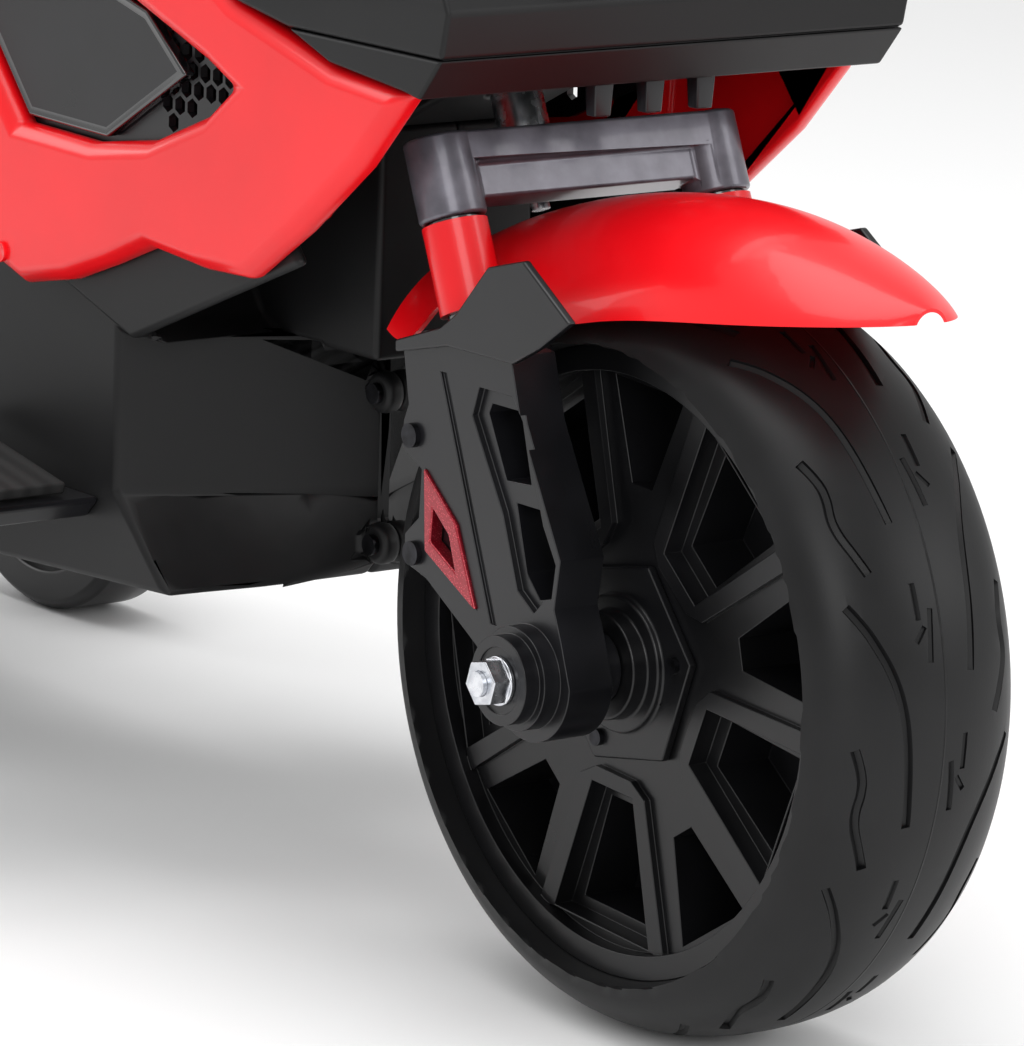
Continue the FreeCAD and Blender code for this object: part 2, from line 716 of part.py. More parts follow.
def grille(label, side):
    """Honeycomb backing plate behind the panel's opening."""
    body = new_body(label, NOSE)
    slab(body, *mirrored(f"{PANEL_IN} - 3.5", PANEL_IN, side), [GRILLE_OUTLINE])
    cut(body, *mirrored(f"{PANEL_IN} - 3.5", PANEL_IN, side), grille_cells())
    return keep(body)


def badge_plate(label, side):
    """Plain dark plate on the grille, inside the opening."""
    body = new_body(label, NOSE)
    slab(body, *mirrored(PANEL_IN, f"{PANEL_IN} + 6", side), [BADGE_OUTLINE])
    return keep(body)


def nose_shape(name, inset):
    """Faceted nose: its side outline met by its front outline, both drawn in by the inset."""
    side_view = new_body(f"{name}_side", NOSE)
    outline = [
        (-128, f"89.4 - 3 * {inset}"), (-168, f"96 - 3 * {inset}"),
        (f"-246 + {inset}", f"137 - 3 * {inset}"), (f"-246 + {inset}", f"205 - {inset}"),
        (-150, f"225 - {inset}"), (f"-90 - 0.4 * {inset}", f"215 - {inset}"),
        (f"-50 - {inset}", 170), (f"-20 - {inset}", 108), (f"-24 - {inset}", f"89.4 - 3 * {inset}"),
    ]
    width = f"(body_half_width - {inset})"
    slab(side_view, f"-{width}", width, [outline])
    front_view = new_body(f"{name}_front", NOSE)
    outline = [(f"-{width}", 0), (width, 0), (width, 118), (f"{width} * 0.6", f"231 - {inset}"),
               (f"-{width} * 0.6", f"231 - {inset}"), (f"-{width}", 118)]
    slab(front_view, -260, 0, [outline], role="YZ_Plane")
    item = doc.addObject("Part::Common", name)
    item.Base = side_view
    item.Tool = front_view
    return item


def front_fairing(label):
    """Hollow nose, open below, with a hole for the stem."""
    outer = nose_shape(f"{label}_outer", "0")
    inner = nose_shape(f"{label}_inner", "panel_wall")
    shell = combine("Part::Cut", f"{label}_shell", outer, inner)
    hole = cylinder(f"{label}_hole", on_steering(0, 0, 100), "stem_diameter + 22", 200, raked=True)
    return keep(combine("Part::Cut", label, shell, hole))


def fairing_lip(label):
    """Lower lip under the nose, notched in the middle for the turning fork."""
    body = new_body(label, NOSE)
    outline = [(-49, 74), (-38, 72), (-24, 89), (-128, 89), (-99, 79)]
    slab(body, "-body_half_width", "body_half_width", [outline])
    cut(body, -48, 48, [[(-130, 60), (-54, 60), (-48, 90), (-130, 90)]])
    return keep(body)


def headlight(label):
    """Wide lamp unit on the nose's front facet."""
    body = new_body(label, NOSE)
    slab(body, -64, 64, [[(-22.7, 114.1), (-46.9, 164.1), (-39.9, 167.4), (-15.7, 117.4)]])
    return keep(body)


def windscreen(label):
    """Upright curved screen above the nose."""
    body = new_body(label, NOSE)
    slab(body, -62, 62, [[
        (-87, 217), (-122, 300, "via"), (-158, 372), (-162, 370), (-126.5, 298, "via"), (-92, 217),
    ]])
    round_edges(body, Vector(0.9, 0, 0.45).normalize(), 20)
    return keep(body)


def dash_panel(label):
    """Instrument plate on the nose's top facet, round the stem."""
    body = new_body(f"{label}_plate", NOSE)
    slab(body, -60, 60, [[(-240, 206.25), (-150, 225), (-152, 231), (-242, 212.25)]])
    hole = cylinder(f"{label}_hole", on_steering(0, 0, 100), "stem_diameter + 22", 200, raked=True)
    return keep(combine("Part::Cut", label, body, hole))


def tank_cover(label):
    """Hollow tank between the seat and the nose, with holes for the power button and the rocker."""
    body = new_body(label, NOSE)
    wall = "panel_wall"
    slab(body, -88, 88, [[(-384, 70), (-384, 118), (-355, 165), (-300, 195), (-250, 205), (-250, 70)]])
    cut(body, f"-88 + {wall}", f"88 - {wall}", [[
        (f"-384 + {wall}", 70), (f"-384 + {wall}", 117), (-352, f"165 - {wall}"),
        (-299, f"195 - {wall}"), (f"-250 - {wall}", f"205 - {wall} - 0.6"), (f"-250 - {wall}", 70),
    ]])
    cut(body, 180, 215, [rectangle(-289.5, -260.5, -42.5, -17.5)], [((-275, 30), "14 + 2 * running_gap")],
        role="XY_Plane")
    return keep(body)


def power_button(label):
    """Round power button in the tank's top."""
    body = new_body(label, NOSE)
    slab(body, 195, "204 + button_travel", rings=[((-275, 30), 14)], role="XY_Plane")
    return keep(body)


def direction_rocker(label):
    """Forward and reverse rocker switch in the tank's top."""
    body = new_body(label, NOSE)
    slab(body, -42, -18, [[(-287, 197), (-263, 197), (-263, 208), (-275, 205.5), (-287, 206)]])
    return keep(body)


# ---------------------------------------------------------------- chassis

BOX_REAR = f"{REAR_X} + 190"


def nose_x(offset):
    """A place along X measured from the front axle."""
    return f"{FRONT_X} + ({offset})"


CAVITY_FRONT = f"{nose_x(-222)} - prow_sweep - chassis_wall"


def prow(body, side):
    """Sweeps the front face back towards the side; below the crease it comes forward again."""
    doc.recompute()
    before = body.Shape.Volume
    half = f"{side} * chassis_half_width"
    seam = f"{nose_x(-215)} + 0.5"
    ahead = f"{nose_x(-215)} + 6"
    sections = []
    for height, sweep in ((-60, "prow_sweep"), (-129, "prow_sweep"), (-176, "8")):
        sketch = new_sketch(body, "XY_Plane", height)
        loop(sketch, [(seam, 0), (ahead, 0), (ahead, f"1.1 * {half}"),
                      (f"{seam} - 1.1 * {sweep}", f"1.1 * {half}")])
        sections.append(sketch)
    loft = body.newObject("PartDesign::SubtractiveLoft", "Prow")
    loft.Profile = sections[0]
    loft.Sections = sections[1:]
    loft.Ruled = True
    doc.recompute()
    if body.Shape.Volume >= before:
        raise ValueError(f"the prow of {body.Label} removes nothing")


def chassis_half(label, side):
    """One half of the hollow body: box, neck, side fin and two screw lugs at the front seam."""
    body = new_body(label, MIDDLE)
    half = "chassis_half_width"
    floor = "chassis_wall"
    slab(body, *mirrored("0", half, side), [[
        (BOX_REAR, -150), (nose_x(-362), -175), (nose_x(-224), -167), (nose_x(-215), -158),
        (nose_x(-215), -80), (nose_x(-225), -66), (nose_x(-250), -54), (nose_x(-300), 20),
        (nose_x(-330), 70), (BOX_REAR, 70),
    ]])
    slab(body, *mirrored("0", "40", side), [rectangle(nose_x(-300), nose_x(-168), -61, 38)])
    fin = [(nose_x(-330), -36), (nose_x(-254), -60), (nose_x(-132), -9), (nose_x(-150), 12),
           (nose_x(-330), 12)]
    slab(body, *mirrored(half, f"{PANEL_IN} - 0.1", side), [fin])
    prow(body, side)
    lugs = [((nose_x(-209), z), 18) for z in (-84, -150)]
    slab(body, *mirrored("0", "9", side), rings=lugs)
    cut(body, *mirrored("0", f"{half} - {floor}", side), [[
        (f"{BOX_REAR} + {floor}", f"-150 + {floor}"), (nose_x(-362), f"-175 + {floor}"),
        (CAVITY_FRONT, f"-170 + {floor}"),
        (CAVITY_FRONT, -68), (nose_x(-274), -48),
        (f"{nose_x(-304)} - {floor}", 14), (f"{nose_x(-332)} - {floor}", f"70 - {floor}"),
        (f"{BOX_REAR} + {floor}", f"70 - {floor}"),
    ]])
    cut(body, *mirrored("0", "78", side), [rectangle(f"{BOX_REAR} + 20", nose_x(-372), 40, 70)])
    return keep(body)


def chassis_screws(label):
    """Screw heads on both sides of the two front lugs."""
    body = new_body(label, MIDDLE)
    spots = [((nose_x(-209), z), 9) for z in (-84, -150)]
    for side in (1, -1):
        slab(body, *mirrored("9", "12", side), rings=spots)
    return keep(body)


def steering_head(label):
    """Bearing block on the neck, bored for the stem."""
    body = new_body(f"{label}_block", NOSE)
    slab(body, -35, 35, [[(-245, 38), (-168, 38), (-113, 65), (-150, 150), (-210, 130), (-245, 90)]])
    bore = cylinder(f"{label}_bore", on_steering(0, 0, 36), "stem_diameter + 2 * running_clearance", 180,
                    raked=True)
    return keep(combine("Part::Cut", label, body, bore))


def seat_pan(label):
    """Stiff tray under the cushion."""
    body = new_body(label, MIDDLE)
    half = "seat_width / 2 - 3"
    top = "seat_height - seat_thickness + 6"
    slab(body, "70 + running_gap", top, [rectangle(f"{REAR_X} + 45", f"{FRONT_X} - 386", f"-({half})", half)],
         role="XY_Plane")
    return keep(body)


def seat_cushion(label):
    """Upholstered cushion, narrower in front."""
    body = new_body(label, MIDDLE)
    wide = "seat_width / 2"
    narrow = "seat_width * 0.38"
    slab(body, "seat_height - seat_thickness + 6", "seat_height", [[
        (f"{REAR_X} + 45", f"-{wide}"), (f"{FRONT_X} - 540", f"-{wide}"), (f"{FRONT_X} - 386", f"-{narrow}"),
        (f"{FRONT_X} - 386", narrow), (f"{FRONT_X} - 540", wide), (f"{REAR_X} + 45", wide),
    ]], role="XY_Plane")
    round_edges(body, Vector(0, 0, 1), 22)
    return keep(body)


def battery(label):
    """Sealed 12 V block in the front of the chassis, against the cavity's front wall."""
    body = new_body(label, MIDDLE)
    slab(body, -145, -51, [rectangle(f"{CAVITY_FRONT} - 151", CAVITY_FRONT, -32.5, 32.5)], role="XY_Plane")
    round_edges(body, Vector(0, 0, 1), 3)
    return keep(body)


def rear_arm(label, side):
    """Arm from the chassis to the rear axle, with the stabiliser's tube, plate and stub axle."""
    body = new_body(label, REAR_AXLE)
    outer = "chassis_half_width"
    inner = f"({outer} - arm_width)"
    slab(body, *mirrored(inner, outer, side), [[
        (190, 8), (190, 72), (90, 36), (0, 30), (-30, 0, "via"), (0, -30), (90, -22),
    ]])
    if side < 0:
        slab(body, *mirrored("hub_boss_reach + running_gap", inner, side), rings=[((0, 0), 30)])
    wheel_in = "(stabiliser_track / 2 - stabiliser_width / 2 - running_gap)"
    wheel_out = "(stabiliser_track / 2 + stabiliser_width / 2 + running_gap)"
    drop = "stabiliser_diameter / 2 - tyre_diameter / 2"
    slab(body, *mirrored(outer, f"{wheel_in} - 6", side), rings=[((58, 2), 24)])
    slab(body, *mirrored(f"{wheel_in} - 6", wheel_in, side), [[
        (72, 16), (46, 16), (-24, f"{drop} + 8"), (-24, f"{drop} - 14"), (4, f"{drop} - 14"), (72, -12),
    ]])
    slab(body, *mirrored(wheel_in, wheel_out, side), rings=[((-10, drop), "axle_diameter")])
    slab(body, *mirrored(wheel_out, f"{wheel_out} + 4", side), rings=[((-10, drop), 20)])
    cut(body, *mirrored("hub_boss_reach", outer, side), rings=[((0, 0), "axle_diameter")])
    return keep(body)


def stabiliser_wheel(label, side):
    """Moulded stabiliser wheel with a dished web on a stub axle."""
    anchor = (f"{REAR_X} - 10", f"{side} * stabiliser_track / 2", "stabiliser_diameter / 2")
    body = new_body(label, anchor)
    half = "stabiliser_width / 2"
    rim_radius = "stabiliser_diameter / 2"
    turned(body, [
        (f"{BORE} / 2", f"-{half}"), (16, f"-{half}"), (18, -9), (f"{rim_radius} - 24", -9),
        (f"{rim_radius} - 20", f"-{half}"), (f"{rim_radius} - 4", f"-{half}"), (rim_radius, f"-{half} + 5"),
        (rim_radius, f"{half} - 5"), (f"{rim_radius} - 4", half), (f"{rim_radius} - 20", half),
        (f"{rim_radius} - 24", 9), (18, 9), (16, half), (f"{BORE} / 2", half),
    ])
    return keep(body)


def drive_gearbox(label):
    """Gear case beside the rear wheel, with its motor reaching forward."""
    body = new_body(label, REAR_AXLE)
    inner, outer = "53", "chassis_half_width - arm_width"
    slab(body, inner, outer, [[
        (-38, 32), (-50, 0), (-38, -32), (0, -50), (60, -40), (118, -20), (118, 34), (60, 44), (0, 50),
    ]])
    slab(body, "web_half_width + running_gap", inner, rings=[((0, 0), 30)])
    slab(body, 118, 176, rings=[(("68.5", 7), 28)], role="YZ_Plane")
    cut(body, "web_half_width", outer, rings=[((0, 0), "axle_diameter")])
    return keep(body)


def tail_cover(label):
    """Tail piece under the seat's rear, with the mudguard flap behind the tyre."""
    body = new_body(label, TAIL)
    slab(body, -92, 92, [[(190, 12), (190, 70), (40, 70), (-60, 64), (-124, 42), (-118, 24), (0, 12)]])
    cut(body, -88, 88, [[(186, 16), (186, 66), (42, 66), (-58, 60), (-112, 40), (-110, 29), (0, 16)]])
    cut(body, -80, 80, [rectangle(8, 182, 10, 17)])
    slab(body, "-tyre_width / 2 - 6", "tyre_width / 2 + 6", [[
        (-100, 26.4), (-118, 24), (-153, -60), (-150, -62), (-112, 18), (-96, 22),
    ]])
    return keep(body)


def tail_light(label):
    """Rear lamp on the end of the tail."""
    body = new_body(label, TAIL)
    slab(body, -45, 45, [[(-119.3, 26), (-124.3, 41), (-131, 39), (-125.5, 24)]])
    return keep(body)


def footrest(label, side):
    """Foot board with an upturned outer edge."""
    body = new_body(label, MIDDLE)
    inner = "chassis_half_width"
    outer = f"{inner} + footrest_reach"
    board = [(-78, -144), (82, -144), (90, -136), (90, -134), (-78, -134)]
    slab(body, *mirrored(inner, outer, side), [board])
    slab(body, *mirrored(f"{outer} - 5", outer, side), [rectangle(-70, 80, -134, -126)])
    return keep(body)


def foot_pedal(label):
    """Sprung accelerator plate on the right foot board."""
    body = new_body(label, MIDDLE)
    slab(body, "-chassis_half_width - footrest_reach + 14", "-chassis_half_width - 12", [[
        (82, -133), (83, -128), (-8, -112), (-9, -117), (70, -131),
    ]])
    return keep(body)


# ---------------------------------------------------------------- the whole machine

tyre("front_tyre", FRONT_AXLE)
rim("front_rim", FRONT_AXLE)
hub_cover("front_hub_cover_left", FRONT_AXLE, 1)
hub_cover("front_hub_cover_right", FRONT_AXLE, -1)
hub_screws("front_hub_screws", FRONT_AXLE, (1, -1))
axle("front_axle", FRONT_AXLE, f"{NUT_FACE} + 12")
axle_nuts("front_axle_nuts", FRONT_AXLE, NUT_FACE)
fork_lug_bolts("fork_lug_bolts")
fork_crown("fork_crown")
fender("front_fender")
steering_stem("steering_stem")
handlebar("handlebar")
horn_button("horn_button")
front_fairing("front_fairing")
fairing_lip("fairing_lip")
headlight("headlight")
windscreen("windscreen")
dash_panel("dash_panel")
tank_cover("tank_cover")
power_button("power_button")
direction_rocker("direction_rocker")
chassis_screws("chassis_screws")
steering_head("steering_head")
seat_pan("seat_pan")
seat_cushion("seat_cushion")
battery("battery")
tyre("rear_tyre", REAR_AXLE)
rim("rear_rim", REAR_AXLE)
hub_cover("rear_hub_cover", REAR_AXLE, -1)
axle("rear_axle", REAR_AXLE, "chassis_half_width + 10")
drive_gearbox("drive_gearbox")
tail_cover("tail_cover")
tail_light("tail_light")
foot_pedal("foot_pedal")
PAIRS = [
    ("fork_leg", fork_leg), ("fork_insert", fork_insert), ("fork_wing", fork_wing),
    ("fork_tube", fork_tube), ("grip", grip), ("mirror", mirror), ("side_panel", side_panel),
    ("grille", grille), ("badge_plate", badge_plate), ("chassis", chassis_half),
    ("rear_arm", rear_arm), ("stabiliser_wheel", stabiliser_wheel), ("footrest", footrest),
]
for pair_name, make in PAIRS:
    make(f"{pair_name}_left", 1)
    make(f"{pair_name}_right", -1)
doc.recompute()

for item in doc.Objects:
    if "Invalid" in item.State or "Error" in item.State:
        raise ValueError(f"{item.Label} failed: {item.State}")
for item in parts:
    if item.Shape.isNull() or not item.Shape.isValid() or not item.Shape.Solids:
        raise ValueError(f"{item.Label} has no valid solid")

os.makedirs("parts", exist_ok=True)
for item in parts:
    item.Shape.exportStep(os.path.join("parts", f"{item.Label}.step"))
print(len(parts), "pieces written")
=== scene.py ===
"""Child's battery ride-on motorcycle: finishes, shaped pieces, studio and camera.

Metres, +X forward, +Y the rider's left, +Z up, the origin on the floor between the axles.
"""
import json
import math

import bpy
from mathutils import Matrix, Vector


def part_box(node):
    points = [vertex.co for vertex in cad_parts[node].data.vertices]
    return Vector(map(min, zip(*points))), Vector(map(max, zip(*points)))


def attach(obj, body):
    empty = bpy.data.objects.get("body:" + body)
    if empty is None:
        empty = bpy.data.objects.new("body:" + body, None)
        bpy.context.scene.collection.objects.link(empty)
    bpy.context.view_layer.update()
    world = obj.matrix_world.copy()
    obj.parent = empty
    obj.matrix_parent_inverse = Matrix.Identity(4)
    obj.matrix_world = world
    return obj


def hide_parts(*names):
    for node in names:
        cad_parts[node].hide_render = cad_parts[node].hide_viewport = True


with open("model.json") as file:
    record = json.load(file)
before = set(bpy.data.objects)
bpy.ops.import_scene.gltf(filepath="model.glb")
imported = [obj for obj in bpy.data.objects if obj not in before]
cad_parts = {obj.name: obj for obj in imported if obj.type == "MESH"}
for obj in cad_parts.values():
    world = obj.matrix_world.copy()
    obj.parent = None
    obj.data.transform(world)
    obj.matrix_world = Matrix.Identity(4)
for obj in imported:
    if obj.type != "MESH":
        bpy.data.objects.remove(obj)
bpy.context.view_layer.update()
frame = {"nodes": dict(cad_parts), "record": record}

MM = 0.001


# ---------------------------------------------------------------- places read from the frame

def middle(node):
    """The centre of a node's box."""
    low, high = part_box(node)
    return (Vector(low) + Vector(high)) / 2


FRONT_AXLE = Vector((middle("front_axle").x, 0, middle("front_axle").z))
REAR_AXLE = Vector((middle("rear_axle").x, 0, middle("rear_axle").z))
TYRE_RADIUS = (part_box("front_tyre")[1][2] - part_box("front_tyre")[0][2]) / 2
DECK = FRONT_AXLE.z + TYRE_RADIUS


# ---------------------------------------------------------------- finishes

def linear(code):
    """An sRGB hex colour as linear red, green, blue and alpha."""
    channels = [int(code[i:i + 2], 16) / 255 for i in (1, 3, 5)]
    return [c / 12.92 if c <= 0.04045 else ((c + 0.055) / 1.055) ** 2.4 for c in channels] + [1.0]


def add(material, kind, settings=None, links=None):
    """Adds a node with its settings; each link names a socket and what feeds it."""
    node = material.node_tree.nodes.new(kind)
    for name, value in (settings or {}).items():
        if name in node.inputs:
            node.inputs[name].default_value = value
        else:
            setattr(node, name, value)
    for name, source in (links or {}).items():
        material.node_tree.links.new(source, node.inputs[name])
    return node


def finish(name, colour, roughness, metallic=0.0, coat=0.0, coat_roughness=0.1, ior=1.5,
           gloss=0.5):
    """A new material with its shader set; its patterns are added by the caller."""
    material = bpy.data.materials.new(name)
    material.use_nodes = True
    shader = material.node_tree.nodes["Principled BSDF"]
    shader.inputs["Base Color"].default_value = linear(colour)
    shader.inputs["Roughness"].default_value = roughness
    shader.inputs["Metallic"].default_value = metallic
    shader.inputs["Coat Weight"].default_value = coat
    shader.inputs["Coat Roughness"].default_value = coat_roughness
    shader.inputs["IOR"].default_value = ior
    shader.inputs["Specular IOR Level"].default_value = gloss
    return material, shader


def grain(material, shader, size_mm, depth_mm, strength):
    """A fine moulded or cast grain of a real size, as bump."""
    place = add(material, "ShaderNodeTexCoord")
    noise = add(material, "ShaderNodeTexNoise", {"Scale": 1000 / size_mm, "Detail": 3.0},
                {"Vector": place.outputs["Object"]})
    bump = add(material, "ShaderNodeBump", {"Distance": depth_mm * MM, "Strength": strength},
               {"Height": noise.outputs["Fac"]})
    material.node_tree.links.new(bump.outputs["Normal"], shader.inputs["Normal"])
    return place


def mottle(material, shader, place, size_mm, dark, light, rough_low, rough_high):
    """Slow drift of colour and gloss over a moulded surface."""
    drift = add(material, "ShaderNodeTexNoise", {"Scale": 1000 / size_mm, "Detail": 4.0},
                {"Vector": place.outputs["Object"]})
    ramp = add(material, "ShaderNodeValToRGB", links={"Fac": drift.outputs["Fac"]})
    ramp.color_ramp.elements[0].color = linear(dark)
    ramp.color_ramp.elements[1].color = linear(light)
    ramp.color_ramp.elements[0].position = 0.35
    ramp.color_ramp.elements[1].position = 0.65
    gloss = add(material, "ShaderNodeMapRange", {"To Min": rough_low, "To Max": rough_high},
                {"Value": drift.outputs["Fac"]})
    material.node_tree.links.new(ramp.outputs["Color"], shader.inputs["Base Color"])
    material.node_tree.links.new(gloss.outputs["Result"], shader.inputs["Roughness"])


def flash_line(material, shader, place):
    """The mould's parting line: a broken ridge about 1 mm wide round the middle of the tread."""
    axes = add(material, "ShaderNodeSeparateXYZ", links={"Vector": place.outputs["Object"]})
    away = add(material, "ShaderNodeMath", {"operation": "ABSOLUTE"}, {0: axes.outputs["Y"]})
    ridge = add(material, "ShaderNodeMapRange", {"From Max": 0.6 * MM, "To Min": 1.0, "To Max": 0.0},
                {"Value": away.outputs["Value"]})
    breaks = add(material, "ShaderNodeTexNoise", {"Scale": 1000 / 14, "Detail": 3.0},
                 {"Vector": place.outputs["Object"]})
    height = add(material, "ShaderNodeMath", {"operation": "MULTIPLY"},
                 {0: ridge.outputs["Result"], 1: breaks.outputs["Fac"]})
    bump = add(material, "ShaderNodeBump", {"Distance": 1.2 * MM, "Strength": 1.0},
               {"Height": height.outputs["Value"]})
    grain_bump = shader.inputs["Normal"].links[0].from_node
    material.node_tree.links.new(bump.outputs["Normal"], grain_bump.inputs["Normal"])


def moulded_eva_foam():
    """EVA foam pressed in a mould: a dull skin with a faint sheen and fine pores."""
    material, shader = finish("moulded_eva_foam", "#0e0e0f", 0.42, ior=1.45, gloss=0.3)
    place = grain(material, shader, 0.9, 0.05, 0.5)
    mottle(material, shader, place, 45, "#0b0b0c", "#121213", 0.36, 0.5)
    flash_line(material, shader, place)
    return material


def injection_moulded_pp():
    """Black polypropylene: low gloss, finely etched by the mould."""
    material, shader = finish("injection_moulded_pp", "#0c0c0e", 0.32, ior=1.49, gloss=0.35)
    place = grain(material, shader, 0.6, 0.03, 0.5)
    mottle(material, shader, place, 60, "#0a0a0b", "#111113", 0.24, 0.36)
    return material


def textured_abs():
    """Black ABS of the fork and trim: satin, a little smoother than the body."""
    material, shader = finish("textured_abs", "#0f0f12", 0.3, ior=1.53, gloss=0.35)
    place = grain(material, shader, 0.5, 0.02, 0.4)
    mottle(material, shader, place, 40, "#0c0c0e", "#141417", 0.24, 0.36)
    return material


def blow_moulded_pe():
    """Black polyethylene body: matt, slightly uneven where the wall cooled."""
    material, shader = finish("blow_moulded_pe", "#0e0e0f", 0.5, ior=1.51, gloss=0.25)
    place = grain(material, shader, 9, 0.05, 0.35)
    mottle(material, shader, place, 80, "#0b0b0c", "#121213", 0.4, 0.55)
    return material


def gloss_red_abs():
    """Bright red ABS with a polished skin: clear reflections and very slight orange peel."""
    material, shader = finish("gloss_red_abs", "#e00a14", 0.3, coat=0.25, coat_roughness=0.06, ior=1.53,
                              gloss=0.3)
    place = grain(material, shader, 6, 0.012, 0.3)
    mottle(material, shader, place, 90, "#d90711", "#e60c17", 0.27, 0.34)
    return material


def metallic_red_paint():
    """Sprayed metallic red over plastic: coarse flakes under a clear coat."""
    material, shader = finish("metallic_red_paint", "#b3142a", 0.35, metallic=0.7, coat=0.6)
    place = add(material, "ShaderNodeTexCoord")
    flakes = add(material, "ShaderNodeTexVoronoi", {"Scale": 1000 / 0.8},
                 {"Vector": place.outputs["Object"]})
    ramp = add(material, "ShaderNodeValToRGB", links={"Fac": flakes.outputs["Distance"]})
    ramp.color_ramp.elements[0].color = linear("#ff5a6a")
    ramp.color_ramp.elements[1].color = linear("#8f0d20")
    ramp.color_ramp.elements[1].position = 0.35
    material.node_tree.links.new(ramp.outputs["Color"], shader.inputs["Base Color"])
    return material


def silver_grey_abs():
    """Grey ABS with metal flake in the melt: a soft, streaky metallic gleam."""
    material, shader = finish("silver_grey_abs", "#5c5a62", 0.38, metallic=0.55, coat=0.3)
    place = grain(material, shader, 1.2, 0.02, 0.4)
    mottle(material, shader, place, 14, "#55535b", "#6c6a73", 0.3, 0.45)
    return material


def zinc_plated_steel():
    """Bright zinc on steel: pale, slightly clouded metal."""
    material, shader = finish("zinc_plated_steel", "#c9cbd0", 0.25, metallic=1.0)
    place = grain(material, shader, 0.8, 0.01, 0.4)
    mottle(material, shader, place, 6, "#b4b7bd", "#dcdee2", 0.18, 0.34)
    return material


def black_oxide_steel():
    """Blackened screws: dark metal with a worn sheen."""
    material, shader = finish("black_oxide_steel", "#232326", 0.35, metallic=0.9)
    place = grain(material, shader, 0.7, 0.01, 0.4)
    mottle(material, shader, place, 5, "#1b1b1d", "#303034", 0.28, 0.45)
    return material


def polished_black_abs():
    """Piano-black ABS for badges, switches and mirror shells."""
    material, shader = finish("polished_black_abs", "#101012", 0.18, coat=0.7, coat_roughness=0.05, ior=1.53)
    grain(material, shader, 8, 0.01, 0.25)
    return material


def soft_tpr():
    """Moulded thermoplastic rubber of the grips: dull, with a fine ribbing."""
    material, shader = finish("soft_tpr", "#1a1a1a", 0.75, ior=1.5)
    place = add(material, "ShaderNodeTexCoord")
    ribs = add(material, "ShaderNodeTexWave", {"Scale": 1000 / 5 / math.tau, "bands_direction": "Y"},
               {"Vector": place.outputs["Object"]})
    bump = add(material, "ShaderNodeBump", {"Distance": 0.8 * MM, "Strength": 0.7},
               {"Height": ribs.outputs["Fac"]})
    material.node_tree.links.new(bump.outputs["Normal"], shader.inputs["Normal"])
    return material


def grained_vinyl():
    """Vinyl seat cover: leather-like cells of about 2 mm pressed into a soft black skin."""
    material, shader = finish("grained_vinyl", "#1b1b1c", 0.5, ior=1.5)
    place = add(material, "ShaderNodeTexCoord")
    cells = add(material, "ShaderNodeTexVoronoi", {"Scale": 1000 / 2.0, "feature": "DISTANCE_TO_EDGE"},
                {"Vector": place.outputs["Object"]})
    ramp = add(material, "ShaderNodeValToRGB", links={"Fac": cells.outputs["Distance"]})
    ramp.color_ramp.elements[1].position = 0.12
    bump = add(material, "ShaderNodeBump", {"Distance": 0.25 * MM, "Strength": 0.6},
               {"Height": ramp.outputs["Color"]})
    material.node_tree.links.new(bump.outputs["Normal"], shader.inputs["Normal"])
    mottle(material, shader, place, 50, "#171718", "#202021", 0.42, 0.56)
    return material


def smoked_polycarbonate():
    """Tinted clear polycarbonate of the windscreen."""
    material, shader = finish("smoked_polycarbonate", "#5b6066", 0.05, ior=1.585)
    shader.inputs["Transmission Weight"].default_value = 0.85
    grain(material, shader, 30, 0.01, 0.2)
    return material


def clear_lens():
    """Clear moulded lens with fine upright flutes in front of a bright bowl."""
    material, shader = finish("clear_lens", "#dfe6ec", 0.08, coat=0.8, ior=1.49)
    place = add(material, "ShaderNodeTexCoord")
    flutes = add(material, "ShaderNodeTexWave", {"Scale": 1000 / 6 / math.tau, "bands_direction": "Y"},
                 {"Vector": place.outputs["Object"]})
    bump = add(material, "ShaderNodeBump", {"Distance": 0.6 * MM, "Strength": 0.8},
               {"Height": flutes.outputs["Fac"]})
    material.node_tree.links.new(bump.outputs["Normal"], shader.inputs["Normal"])
    return material


def red_lens():
    """Translucent red lamp cover with a fine prism pattern."""
    material, shader = finish("red_lens", "#b00d14", 0.12, coat=0.8, ior=1.49)
    place = add(material, "ShaderNodeTexCoord")
    prisms = add(material, "ShaderNodeTexVoronoi", {"Scale": 1000 / 4}, {"Vector": place.outputs["Object"]})
    bump = add(material, "ShaderNodeBump", {"Distance": 0.6 * MM, "Strength": 0.6},
               {"Height": prisms.outputs["Distance"]})
    material.node_tree.links.new(bump.outputs["Normal"], shader.inputs["Normal"])
    return material


def silvered_glass():
    """Mirror glass."""
    material, shader = finish("silvered_glass", "#e9edf0", 0.03, metallic=1.0)
    grain(material, shader, 60, 0.004, 0.1)
    return material


def painted_studio_floor():
    """Matt white paint with a barely visible roller texture."""
    material, shader = finish("painted_studio_floor", "#f4f4f4", 0.8)
    grain(material, shader, 3, 0.05, 0.2)
    return material


FOAM = moulded_eva_foam()
PP = injection_moulded_pp()
ABS = textured_abs()
BODY = blow_moulded_pe()
RED = gloss_red_abs()
RED_METALLIC = metallic_red_paint()
GREY = silver_grey_abs()
ZINC = zinc_plated_steel()
OXIDE = black_oxide_steel()
PIANO = polished_black_abs()
TPR = soft_tpr()
VINYL = grained_vinyl()
SCREEN = smoked_polycarbonate()
LENS = clear_lens()
RED_LENS = red_lens()
MIRROR = silvered_glass()


def wear(piece, material):
    """Gives a new piece one material."""
    piece.data.materials.clear()
    piece.data.materials.append(material)


# ---------------------------------------------------------------- making and easing pieces

# The reach is in metres; the facings are cosines of the angle to the way a face should look.
MERGE_REACH = 1e-5
FLAT_DEGREES = 0.5
EDGE_DEGREES = 28
PANEL_FACING = 0.8
PANEL_SHARE = 0.3
OUTER_FACING = 0.9


